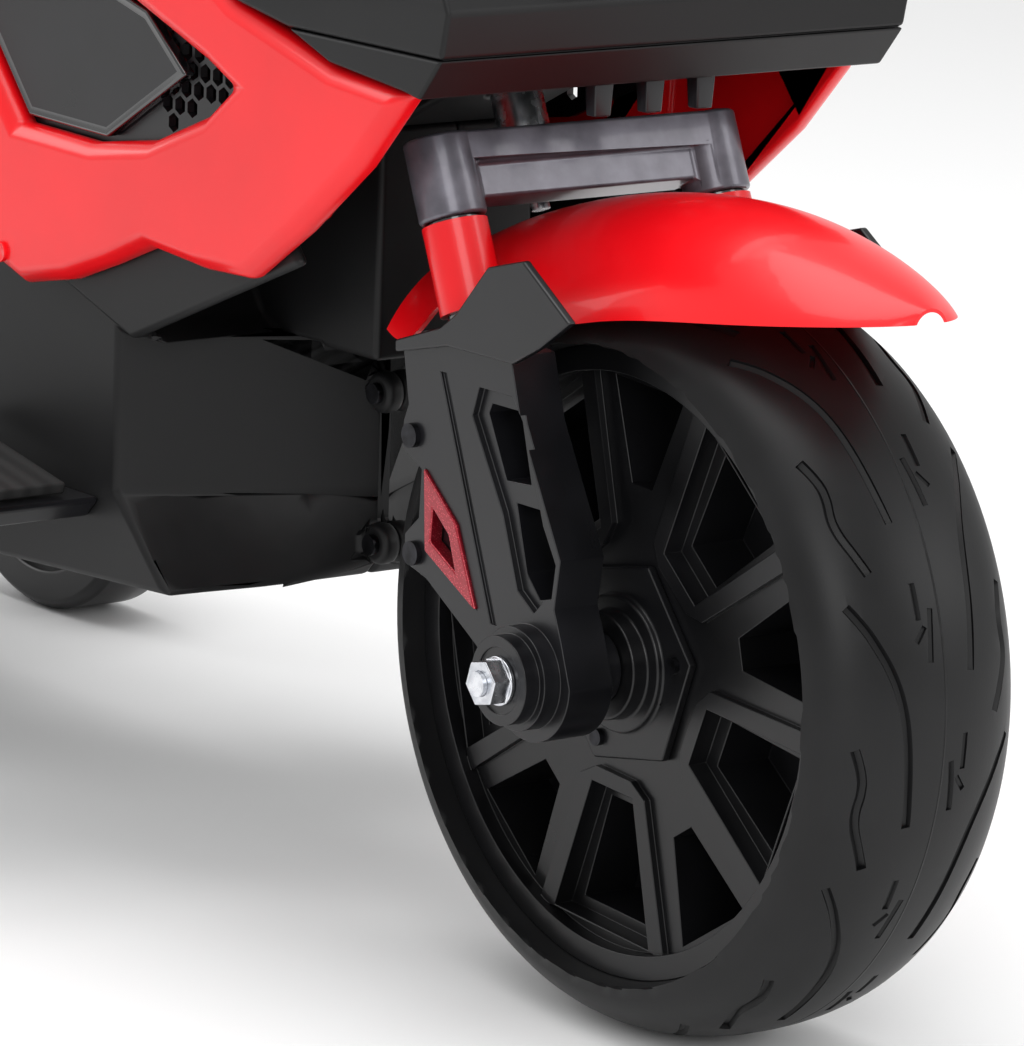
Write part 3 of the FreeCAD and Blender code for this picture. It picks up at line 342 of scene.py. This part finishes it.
def deselect():
    """Leaves nothing selected."""
    for item in bpy.context.selected_objects:
        item.select_set(False)


def make_active(piece):
    """Selects one piece alone and makes it the active one."""
    deselect()
    piece.select_set(True)
    bpy.context.view_layer.objects.active = piece


def apply(piece, kind, **settings):
    """Adds a modifier with its settings and applies it."""
    make_active(piece)
    modifier = piece.modifiers.new(kind.title(), kind)
    for name, value in settings.items():
        setattr(modifier, name, value)
    bpy.ops.object.modifier_apply(modifier=modifier.name)


def smooth(piece, degrees=40):
    """Smooth shading up to an angle, for new pieces only."""
    make_active(piece)
    bpy.ops.object.shade_smooth_by_angle(angle=math.radians(degrees))


def node_copy(node, name):
    """A merged copy of a CAD node's mesh, ready to be shaped."""
    source = frame["nodes"][node]
    piece = bpy.data.objects.new(name, source.data.copy())
    bpy.context.scene.collection.objects.link(piece)
    make_active(piece)
    bpy.ops.object.mode_set(mode="EDIT")
    bpy.ops.mesh.select_all(action="SELECT")
    bpy.ops.mesh.remove_doubles(threshold=MERGE_REACH)
    bpy.ops.mesh.dissolve_limited(angle_limit=math.radians(FLAT_DEGREES))
    bpy.ops.object.mode_set(mode="OBJECT")
    return piece


def set_in(piece, facing, margin_mm, depth_mm, material):
    """Sinks the large faces that look one way, leaving a margin, and gives them their own finish."""
    piece.data.materials.append(material)
    way = Vector(facing).normalized()
    facing_areas = [f.area for f in piece.data.polygons if f.normal.dot(way) > PANEL_FACING]
    least = PANEL_SHARE * max(facing_areas, default=0)
    make_active(piece)
    bpy.ops.object.mode_set(mode="EDIT")
    bpy.ops.mesh.select_mode(type="FACE")
    bpy.ops.mesh.select_all(action="DESELECT")
    bpy.ops.object.mode_set(mode="OBJECT")
    for face in piece.data.polygons:
        face.select = face.normal.dot(way) > PANEL_FACING and face.area > least
    bpy.ops.object.mode_set(mode="EDIT")
    bpy.ops.mesh.inset(thickness=margin_mm * MM, depth=-depth_mm * MM)
    piece.active_material_index = len(piece.data.materials) - 1
    bpy.ops.object.material_slot_assign()
    bpy.ops.object.mode_set(mode="OBJECT")


def eased(node, body, material, width_mm, panel=None):
    """Stands for a CAD node that needs moulded, rounded edges, with its panel sunk if it has one."""
    piece = node_copy(node, f"{node}_moulding")
    wear(piece, material)
    if panel:
        set_in(piece, *panel)
    apply(piece, "BEVEL", width=width_mm * MM, segments=3, limit_method="ANGLE",
          angle_limit=math.radians(EDGE_DEGREES), use_clamp_overlap=False, harden_normals=False)
    smooth(piece)
    apply(piece, "WEIGHTED_NORMAL", keep_sharp=True, weight=100)
    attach(piece, body)
    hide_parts(node)


def body_of(node):
    """The name of the CAD body that a node belongs to."""
    for name, nodes in frame["record"]["behaviour"]["bodies"].items():
        if node in nodes:
            return name
    raise KeyError(node)


# ---------------------------------------------------------------- studio and camera

FLOOR_SIDE = 14
SURROUND_STRENGTH = 0.75
# Each lamp: where it hangs, what it faces, the side of its square in metres, and its watts.
SOFTBOXES = {
    "overhead_softbox": ((0.3, -0.2, 2.6), (0.2, 0, 0.2), 2.2, 48),
    "front_right_softbox": ((2.6, -1.6, 1.5), (0.35, 0, 0.3), 1.4, 26),
    "front_left_softbox": ((2.4, 1.9, 1.3), (0.35, 0, 0.3), 1.2, 16),
    "rear_softbox": ((-2.4, -1.2, 1.8), (0, 0, 0.3), 1.6, 20),
}
# Degrees, then the lens in millimetres, then metres from the front axle.
CAMERA_YAW = 37.4
CAMERA_PITCH = 12.18
CAMERA_ROLL = 1.8
CAMERA_LENS = 221.3
CAMERA_FROM_AXLE = (1.9613, -1.5941, 0.5962)

def studio():
    """A pale floor, soft overhead and side lights and a pale surround."""
    bpy.ops.mesh.primitive_plane_add(size=FLOOR_SIDE, location=(0, 0, 0))
    floor = bpy.context.object
    floor.name = "studio_floor"
    wear(floor, painted_studio_floor())
    world = bpy.data.worlds.new("pale_surround")
    world.use_nodes = True
    world.node_tree.nodes["Background"].inputs["Color"].default_value = (1, 1, 1, 1)
    world.node_tree.nodes["Background"].inputs["Strength"].default_value = SURROUND_STRENGTH
    bpy.context.scene.world = world
    for name, (spot, aim, size, watts) in SOFTBOXES.items():
        data = bpy.data.lights.new(name, "AREA")
        data.shape = "SQUARE"
        data.size = size
        data.energy = watts
        lamp = bpy.data.objects.new(name, data)
        lamp.location = spot
        lamp.rotation_euler = (Vector(aim) - Vector(spot)).to_track_quat("-Z", "Y").to_euler()
        bpy.context.scene.collection.objects.link(lamp)


def camera():
    """A long lens at the front right, a little above the machine and rolled very slightly."""
    yaw, pitch, roll = (math.radians(a) for a in (CAMERA_YAW, CAMERA_PITCH, CAMERA_ROLL))
    forward = Vector((-math.cos(pitch) * math.cos(yaw), math.cos(pitch) * math.sin(yaw), -math.sin(pitch)))
    level = forward.cross(Vector((0, 0, 1))).normalized()
    upward = level.cross(forward)
    right = math.cos(roll) * level + math.sin(roll) * upward
    top = -math.sin(roll) * level + math.cos(roll) * upward
    data = bpy.data.cameras.new("camera")
    data.lens = CAMERA_LENS
    data.sensor_width = 36
    data.clip_end = 50
    eye = bpy.data.objects.new("camera", data)
    turn = Matrix((right, top, -forward)).transposed()
    eye.matrix_world = Matrix.Translation(FRONT_AXLE + Vector(CAMERA_FROM_AXLE)) @ turn.to_4x4()
    bpy.context.scene.collection.objects.link(eye)
    bpy.context.scene.camera = eye


studio()
camera()
bpy.context.scene.view_settings.view_transform = "Standard"


# ---------------------------------------------------------------- tyres

# Lengths in millimetres and angles in degrees.
TREAD_REPEATS = 8
TREAD_START = 20.1
TYRE_HALF_WIDTH = 51.3
TYRE_CROWN = 29.8
TYRE_SQUARENESS = 2.28
RIM_RADIUS = 128
RIM_HALF_WIDTH = 41
RING_TUBE = 13
SHOULDER_RISE = 1.5
BEAD_WIDTH = 8
BEAD_SLOPE = 0.15
# Each groove: half its width, then (degrees round, millimetres across) points.
GROOVES = [
    (2.1, [(0, 38.5), (-3, 33.6), (-6.6, 29), (-10, 24.7), (-14, 20.9), (-19, 18.2), (-26.5, 16),
           (-34, 13.6)]),
    (2.3, [(-21.6, 38.3), (-25.3, 35), (-28.5, 34.6), (-31.5, 35.9), (-34.4, 34.8), (-37.7, 31.3),
           (-40.8, 28)]),
    (1.5, [(2, 10.7), (-0.7, 10.5), (-3.4, 10.5)]),
    (1.5, [(-1.9, 4.1), (-5.8, 5.7), (-9.6, 6.5)]),
    (1.3, [(-6.6, 12.3), (-5.5, 10), (-4.4, 7.8)]),
]


def crown_radius(across):
    """The tyre's radius at a distance from its middle plane, in millimetres."""
    share = max(1 - (abs(across) / TYRE_HALF_WIDTH) ** TYRE_SQUARENESS, 0)
    return TYRE_RADIUS / MM - TYRE_CROWN + TYRE_CROWN * share ** (1 / TYRE_SQUARENESS)


def tread_point(axle, angle, across):
    """A point on the tread, in metres."""
    radius = crown_radius(across) * MM
    turn = math.radians(angle)
    return axle + Vector((radius * math.cos(turn), across * MM, radius * math.sin(turn)))


def groove_cutter(axle, side, phase):
    """Thin closed tubes along one repeat of the tread's grooves, on one side."""
    data = bpy.data.curves.new("groove", "CURVE")
    data.dimensions = "3D"
    data.bevel_depth = 1.0 * MM
    data.bevel_resolution = 1
    data.use_fill_caps = True
    data.resolution_u = 4
    for radius, path in GROOVES:
        line = data.splines.new("NURBS")
        line.points.add(len(path) - 1)
        for knot, (angle, across) in zip(line.points, path):
            knot.co = (*tread_point(axle, angle + phase, side * across), 1)
            knot.radius = radius
        line.order_u = 3
        line.use_endpoint_u = True
    cutter = bpy.data.objects.new("groove", data)
    bpy.context.scene.collection.objects.link(cutter)
    make_active(cutter)
    bpy.ops.object.convert(target="MESH")
    return bpy.context.object


def tread_cutters(axle):
    """All grooves of a tyre as one mesh; the far side is half a repeat behind the near one."""
    step = 360 / TREAD_REPEATS
    cutters = []
    for repeat in range(TREAD_REPEATS):
        cutters.append(groove_cutter(axle, -1, TREAD_START + repeat * step))
        cutters.append(groove_cutter(axle, 1, TREAD_START + (repeat + 0.5) * step))
    deselect()
    for cutter in cutters:
        cutter.select_set(True)
    bpy.context.view_layer.objects.active = cutters[0]
    bpy.ops.object.join()
    return bpy.context.object


def foam_tyre(node, axle, body):
    """A round-shouldered ring on the rim, with its tread cut in."""
    bpy.ops.mesh.primitive_torus_add(
        location=axle, rotation=(math.pi / 2, 0, 0), major_segments=160, minor_segments=48,
        major_radius=(RIM_RADIUS + RING_TUBE) * MM, minor_radius=RING_TUBE * MM)
    piece = bpy.context.object
    piece.name = f"{node}_tread"
    bpy.ops.object.transform_apply(location=True, rotation=True, scale=True)
    ring = (RIM_RADIUS + RING_TUBE) * MM
    for vertex in piece.data.vertices:
        arm = vertex.co - axle
        radius = math.hypot(arm.x, arm.z)
        section = math.atan2(radius - ring, arm.y)
        power = 2 / TYRE_SQUARENESS
        if math.sin(section) > 0:
            across = math.copysign(TYRE_HALF_WIDTH * abs(math.cos(section)) ** power, math.cos(section))
            height = max(crown_radius(across), RIM_RADIUS + SHOULDER_RISE)
        else:
            across = (RIM_HALF_WIDTH + BEAD_WIDTH) * math.cos(section)
            height = RIM_RADIUS + BEAD_SLOPE * max(abs(across) - RIM_HALF_WIDTH, 0)
        scale = height * MM / radius
        vertex.co = axle + Vector((arm.x * scale, across * MM, arm.z * scale))
    cutter = tread_cutters(axle)
    make_active(piece)
    modifier = piece.modifiers.new("Tread", "BOOLEAN")
    modifier.operation = "DIFFERENCE"
    modifier.solver = "EXACT"
    modifier.object = cutter
    bpy.ops.object.modifier_apply(modifier=modifier.name)
    bpy.data.objects.remove(cutter, do_unlink=True)
    smooth(piece)
    wear(piece, FOAM)
    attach(piece, body)
    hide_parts(node)


foam_tyre("front_tyre", FRONT_AXLE, "front_wheel")
foam_tyre("rear_tyre", REAR_AXLE, "rear_wheel")


# ---------------------------------------------------------------- seat cushion

# Lengths in millimetres; the channels and the piping are placed by a share of the length or height.
CUSHION_VOXEL = 5
CUSHION_DRAW_IN = 4
CUSHION_CAP = 16
CUSHION_FRAMES = 20
CUSHION_CHANNELS = (0.34, 0.67)
CHANNEL_DEPTH = 5
CHANNEL_WIDTH = 5
CUSHION_CLEAR = 0.2
PIPING_SHARE = 0.62
PIPING_RADIUS = 2.2


def flatten_under(piece, floor_height):
    """Keeps every point of a cushion above what it rests on."""
    for vertex in piece.data.vertices:
        vertex.co.z = max(vertex.co.z, floor_height)


def shrink(piece, amount_mm):
    """Draws a shape in towards its middle by about the same amount on every side."""
    low, high = (Vector(corner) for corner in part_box("seat_cushion"))
    centre = (low + high) / 2
    for axis in range(3):
        half = (high[axis] - low[axis]) / 2
        factor = (half - amount_mm * MM) / half
        for vertex in piece.data.vertices:
            vertex.co[axis] = centre[axis] + (vertex.co[axis] - centre[axis]) * factor


def inflate(piece):
    """Blows the cover out like foam in a sewn bag, and caps how far a point may move."""
    before = [vertex.co.copy() for vertex in piece.data.vertices]
    make_active(piece)
    cloth = piece.modifiers.new("Cover", "CLOTH")
    cloth.settings.use_pressure = True
    cloth.settings.uniform_pressure_force = 4
    cloth.settings.effector_weights.gravity = 0
    cloth.point_cache.frame_start = 1
    cloth.point_cache.frame_end = CUSHION_FRAMES
    for step in range(1, CUSHION_FRAMES + 1):
        bpy.context.scene.frame_set(step)
    bpy.ops.object.modifier_apply(modifier=cloth.name)
    bpy.context.scene.frame_set(1)
    for vertex, start in zip(piece.data.vertices, before):
        move = vertex.co - start
        if move.length > CUSHION_CAP * MM:
            vertex.co = start + move.normalized() * CUSHION_CAP * MM


def seat_cushion():
    """Foam seat under a vinyl cover: crowned, drawn in at the sides, with two sewn channels and piping."""
    low, high = (Vector(corner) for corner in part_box("seat_cushion"))
    piece = node_copy("seat_cushion", "seat_cushion_cover")
    shrink(piece, CUSHION_DRAW_IN)
    apply(piece, "REMESH", mode="VOXEL", voxel_size=CUSHION_VOXEL * MM)
    inflate(piece)
    apply(piece, "SUBSURF", levels=1, render_levels=1)
    length = high.x - low.x
    for vertex in piece.data.vertices:
        rise = (vertex.co.z - low.z) / (high.z - low.z)
        if rise > 0.5:
            for share in CUSHION_CHANNELS:
                away = (vertex.co.x - low.x - share * length) / (CHANNEL_WIDTH * MM)
                vertex.co.z -= CHANNEL_DEPTH * MM * math.exp(-away * away)
    flatten_under(piece, low.z + CUSHION_CLEAR * MM)
    smooth(piece, 60)
    wear(piece, VINYL)
    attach(piece, "seat")
    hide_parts("seat_cushion")
    return piece


def piping(cushion):
    """A round welt sewn round the cushion where the top panel meets the side band."""
    low, high = (Vector(corner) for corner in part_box("seat_cushion"))
    welt = bpy.data.objects.new("seat_piping", cushion.data.copy())
    bpy.context.scene.collection.objects.link(welt)
    make_active(welt)
    bpy.ops.object.mode_set(mode="EDIT")
    bpy.ops.mesh.select_all(action="SELECT")
    bpy.ops.mesh.bisect(plane_co=(0, 0, low.z + PIPING_SHARE * (high.z - low.z)), plane_no=(0, 0, 1),
                        clear_inner=True, clear_outer=True)
    bpy.ops.object.mode_set(mode="OBJECT")
    bpy.ops.object.convert(target="CURVE")
    welt = bpy.context.object
    welt.data.bevel_depth = PIPING_RADIUS * MM
    welt.data.bevel_resolution = 3
    bpy.ops.object.convert(target="MESH")
    welt = bpy.context.object
    smooth(welt, 60)
    wear(welt, VINYL)
    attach(welt, "seat")


piping(seat_cushion())


# ---------------------------------------------------------------- every piece

# CAD nodes replaced by copies with eased edges: the finish, and the bevel in millimetres.
MOULDED = {
    "front_rim": (PP, 0.4), "rear_rim": (PP, 0.4), "front_hub_cover_left": (PP, 1.2),
    "front_hub_cover_right": (PP, 1.2), "rear_hub_cover": (PP, 1.2),
    "fork_leg_left": (ABS, 0.4), "fork_leg_right": (ABS, 0.4), "fork_wing_left": (ABS, 1.0),
    "fork_wing_right": (ABS, 1.0), "fork_insert_left": (RED_METALLIC, 0.8),
    "fork_insert_right": (RED_METALLIC, 0.8), "fork_crown": (GREY, 1.6),
    "chassis_left": (BODY, 3.0), "chassis_right": (BODY, 3.0), "steering_head": (BODY, 3.0),
    "rear_arm_left": (ABS, 2.0), "rear_arm_right": (ABS, 2.0), "footrest_left": (ABS, 1.5),
    "footrest_right": (ABS, 1.5), "drive_gearbox": (ABS, 2.0), "seat_pan": (BODY, 2.0),
    "tail_cover": (BODY, 2.0), "front_fairing": (BODY, 2.0), "fairing_lip": (BODY, 1.5),
    "dash_panel": (ABS, 1.5), "handlebar": (ABS, 1.2), "tank_cover": (RED, 2.0),
    "side_panel_left": (RED, 2.5), "side_panel_right": (RED, 2.5), "badge_plate_left": (PIANO, 1.5),
    "badge_plate_right": (PIANO, 1.5), "headlight": (PIANO, 1.5), "tail_light": (PIANO, 1.0),
    "power_button": (PIANO, 0.8), "direction_rocker": (PIANO, 0.8), "horn_button": (RED, 0.8),
    "mirror_left": (PIANO, 1.5), "mirror_right": (PIANO, 1.5), "stabiliser_wheel_left": (PP, 1.5),
    "stabiliser_wheel_right": (PP, 1.5), "foot_pedal": (TPR, 1.0), "battery": (PIANO, 1.5),
    "front_axle_nuts": (ZINC, 0.5), "windscreen": (SCREEN, 0.8), "grip_left": (TPR, 1.2),
    "grip_right": (TPR, 1.2),
}
# CAD nodes that stay as they are, with a better finish.
KEPT = {
    "front_fender": RED, "steering_stem": ZINC,
    "front_axle": ZINC, "rear_axle": ZINC, "front_hub_screws": OXIDE, "fork_lug_bolts": OXIDE,
    "chassis_screws": OXIDE, "fork_tube_left": PIANO, "fork_tube_right": PIANO, "grille_left": ABS,
    "grille_right": ABS,
}
# Sunk panels: the way they face, the margin and depth in millimetres, and their finish.
PANELS = {
    "mirror_left": ((-1, 0, 0), 5, 1.0, MIRROR), "mirror_right": ((-1, 0, 0), 5, 1.0, MIRROR),
    "headlight": ((1, 0, 0), 6, 1.5, LENS), "tail_light": ((-1, 0, 0), 2.5, 0.8, RED_LENS),
    "badge_plate_left": ((0, 1, 0), 4, 0.8, ABS), "badge_plate_right": ((0, -1, 0), 4, 0.8, ABS),
}
for node, (material, width) in MOULDED.items():
    eased(node, body_of(node), material, width, panel=PANELS.get(node))
for node, material in KEPT.items():
    for slot in frame["nodes"][node].material_slots:
        slot.material = material


# ---------------------------------------------------------------- small mouldings on the body

def select_outer(piece, way):
    """Opens edit mode with only the faces that look one way selected."""
    make_active(piece)
    bpy.ops.object.mode_set(mode="EDIT")
    bpy.ops.mesh.select_mode(type="FACE")
    bpy.ops.mesh.select_all(action="DESELECT")
    bpy.ops.object.mode_set(mode="OBJECT")
    for face in piece.data.polygons:
        face.select = face.normal.dot(way) > OUTER_FACING
    bpy.ops.object.mode_set(mode="EDIT")


def moulded_bar(name, body, centre, size_mm, way, material):
    """A rib with drafted sides and rounded edges, standing on a wall."""
    deselect()
    bpy.ops.mesh.primitive_cube_add(size=1, location=centre, scale=[side * MM for side in size_mm])
    piece = bpy.context.object
    piece.name = name
    bpy.ops.object.transform_apply(location=True, rotation=True, scale=True)
    select_outer(piece, way)
    draft = [1 if abs(share) > 0.5 else 0.8 for share in way]
    bpy.ops.transform.resize(value=draft, center_override=centre)
    bpy.ops.object.mode_set(mode="OBJECT")
    apply(piece, "BEVEL", width=0.8 * MM, segments=3)
    smooth(piece)
    wear(piece, material)
    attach(piece, body)


def screw_plug(name, body, centre, way, radius_mm, material):
    """A snap-in cap over a screw: a shallow disc with a dished face."""
    deselect()
    bpy.ops.mesh.primitive_cylinder_add(vertices=48, radius=radius_mm * MM, depth=2.4 * MM,
                                        location=centre, rotation=(math.pi / 2, 0, 0))
    piece = bpy.context.object
    piece.name = name
    bpy.ops.object.transform_apply(location=True, rotation=True, scale=True)
    select_outer(piece, way)
    bpy.ops.mesh.inset(thickness=1.3 * MM, depth=-0.7 * MM)
    bpy.ops.object.mode_set(mode="OBJECT")
    apply(piece, "BEVEL", width=0.3 * MM, segments=2, limit_method="ANGLE")
    smooth(piece)
    wear(piece, material)
    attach(piece, body)


# Millimetres: across the machine, behind the front axle and above the tyre's top.
STRAPS_ACROSS = (-24, 2, 28)
STRAP_BACK = 44
STRAP_RISE = 68
STRAP_SIZE = (8, 10, 18)
for index, across in enumerate(STRAPS_ACROSS):
    spot = Vector((FRONT_AXLE.x - STRAP_BACK * MM, across * MM, DECK + STRAP_RISE * MM))
    moulded_bar(f"nose_strap_{index}", "chassis", spot, STRAP_SIZE, Vector((0, 0, -1)), ABS)

# Millimetres: plugs are placed from the front axle; ribs step back and down from the first one.
PLUG_BACK = 336
PLUG_RISE = 121
PLUG_PROUD = 0.6
PLUG_RADIUS = 4.5
SIDE_RIBS = 4
BODY_HALF_WIDTH = 100
RIB_PROUD = 0.8
RIB_FIRST = (-105, 60)
RIB_STEP = (6, 14)
RIB_SIZE = (110, 3.2, 5)
for side_name, side in (("left", 1), ("right", -1)):
    outward = Vector((0, side, 0))
    panel_face = max(abs(corner[1]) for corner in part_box(f"side_panel_{side_name}"))
    spot = FRONT_AXLE + Vector((-PLUG_BACK * MM, side * (panel_face + PLUG_PROUD * MM), PLUG_RISE * MM))
    screw_plug(f"panel_plug_{side_name}", "chassis", spot, outward, PLUG_RADIUS, RED)
    for index in range(SIDE_RIBS):
        along = (RIB_FIRST[0] + RIB_STEP[0] * index) * MM
        across = side * (BODY_HALF_WIDTH + RIB_PROUD) * MM
        down = (RIB_FIRST[1] + RIB_STEP[1] * index) * MM
        moulded_bar(f"body_rib_{side_name}_{index}", "chassis", Vector((along, across, DECK - down)),
                    RIB_SIZE, outward, PP)
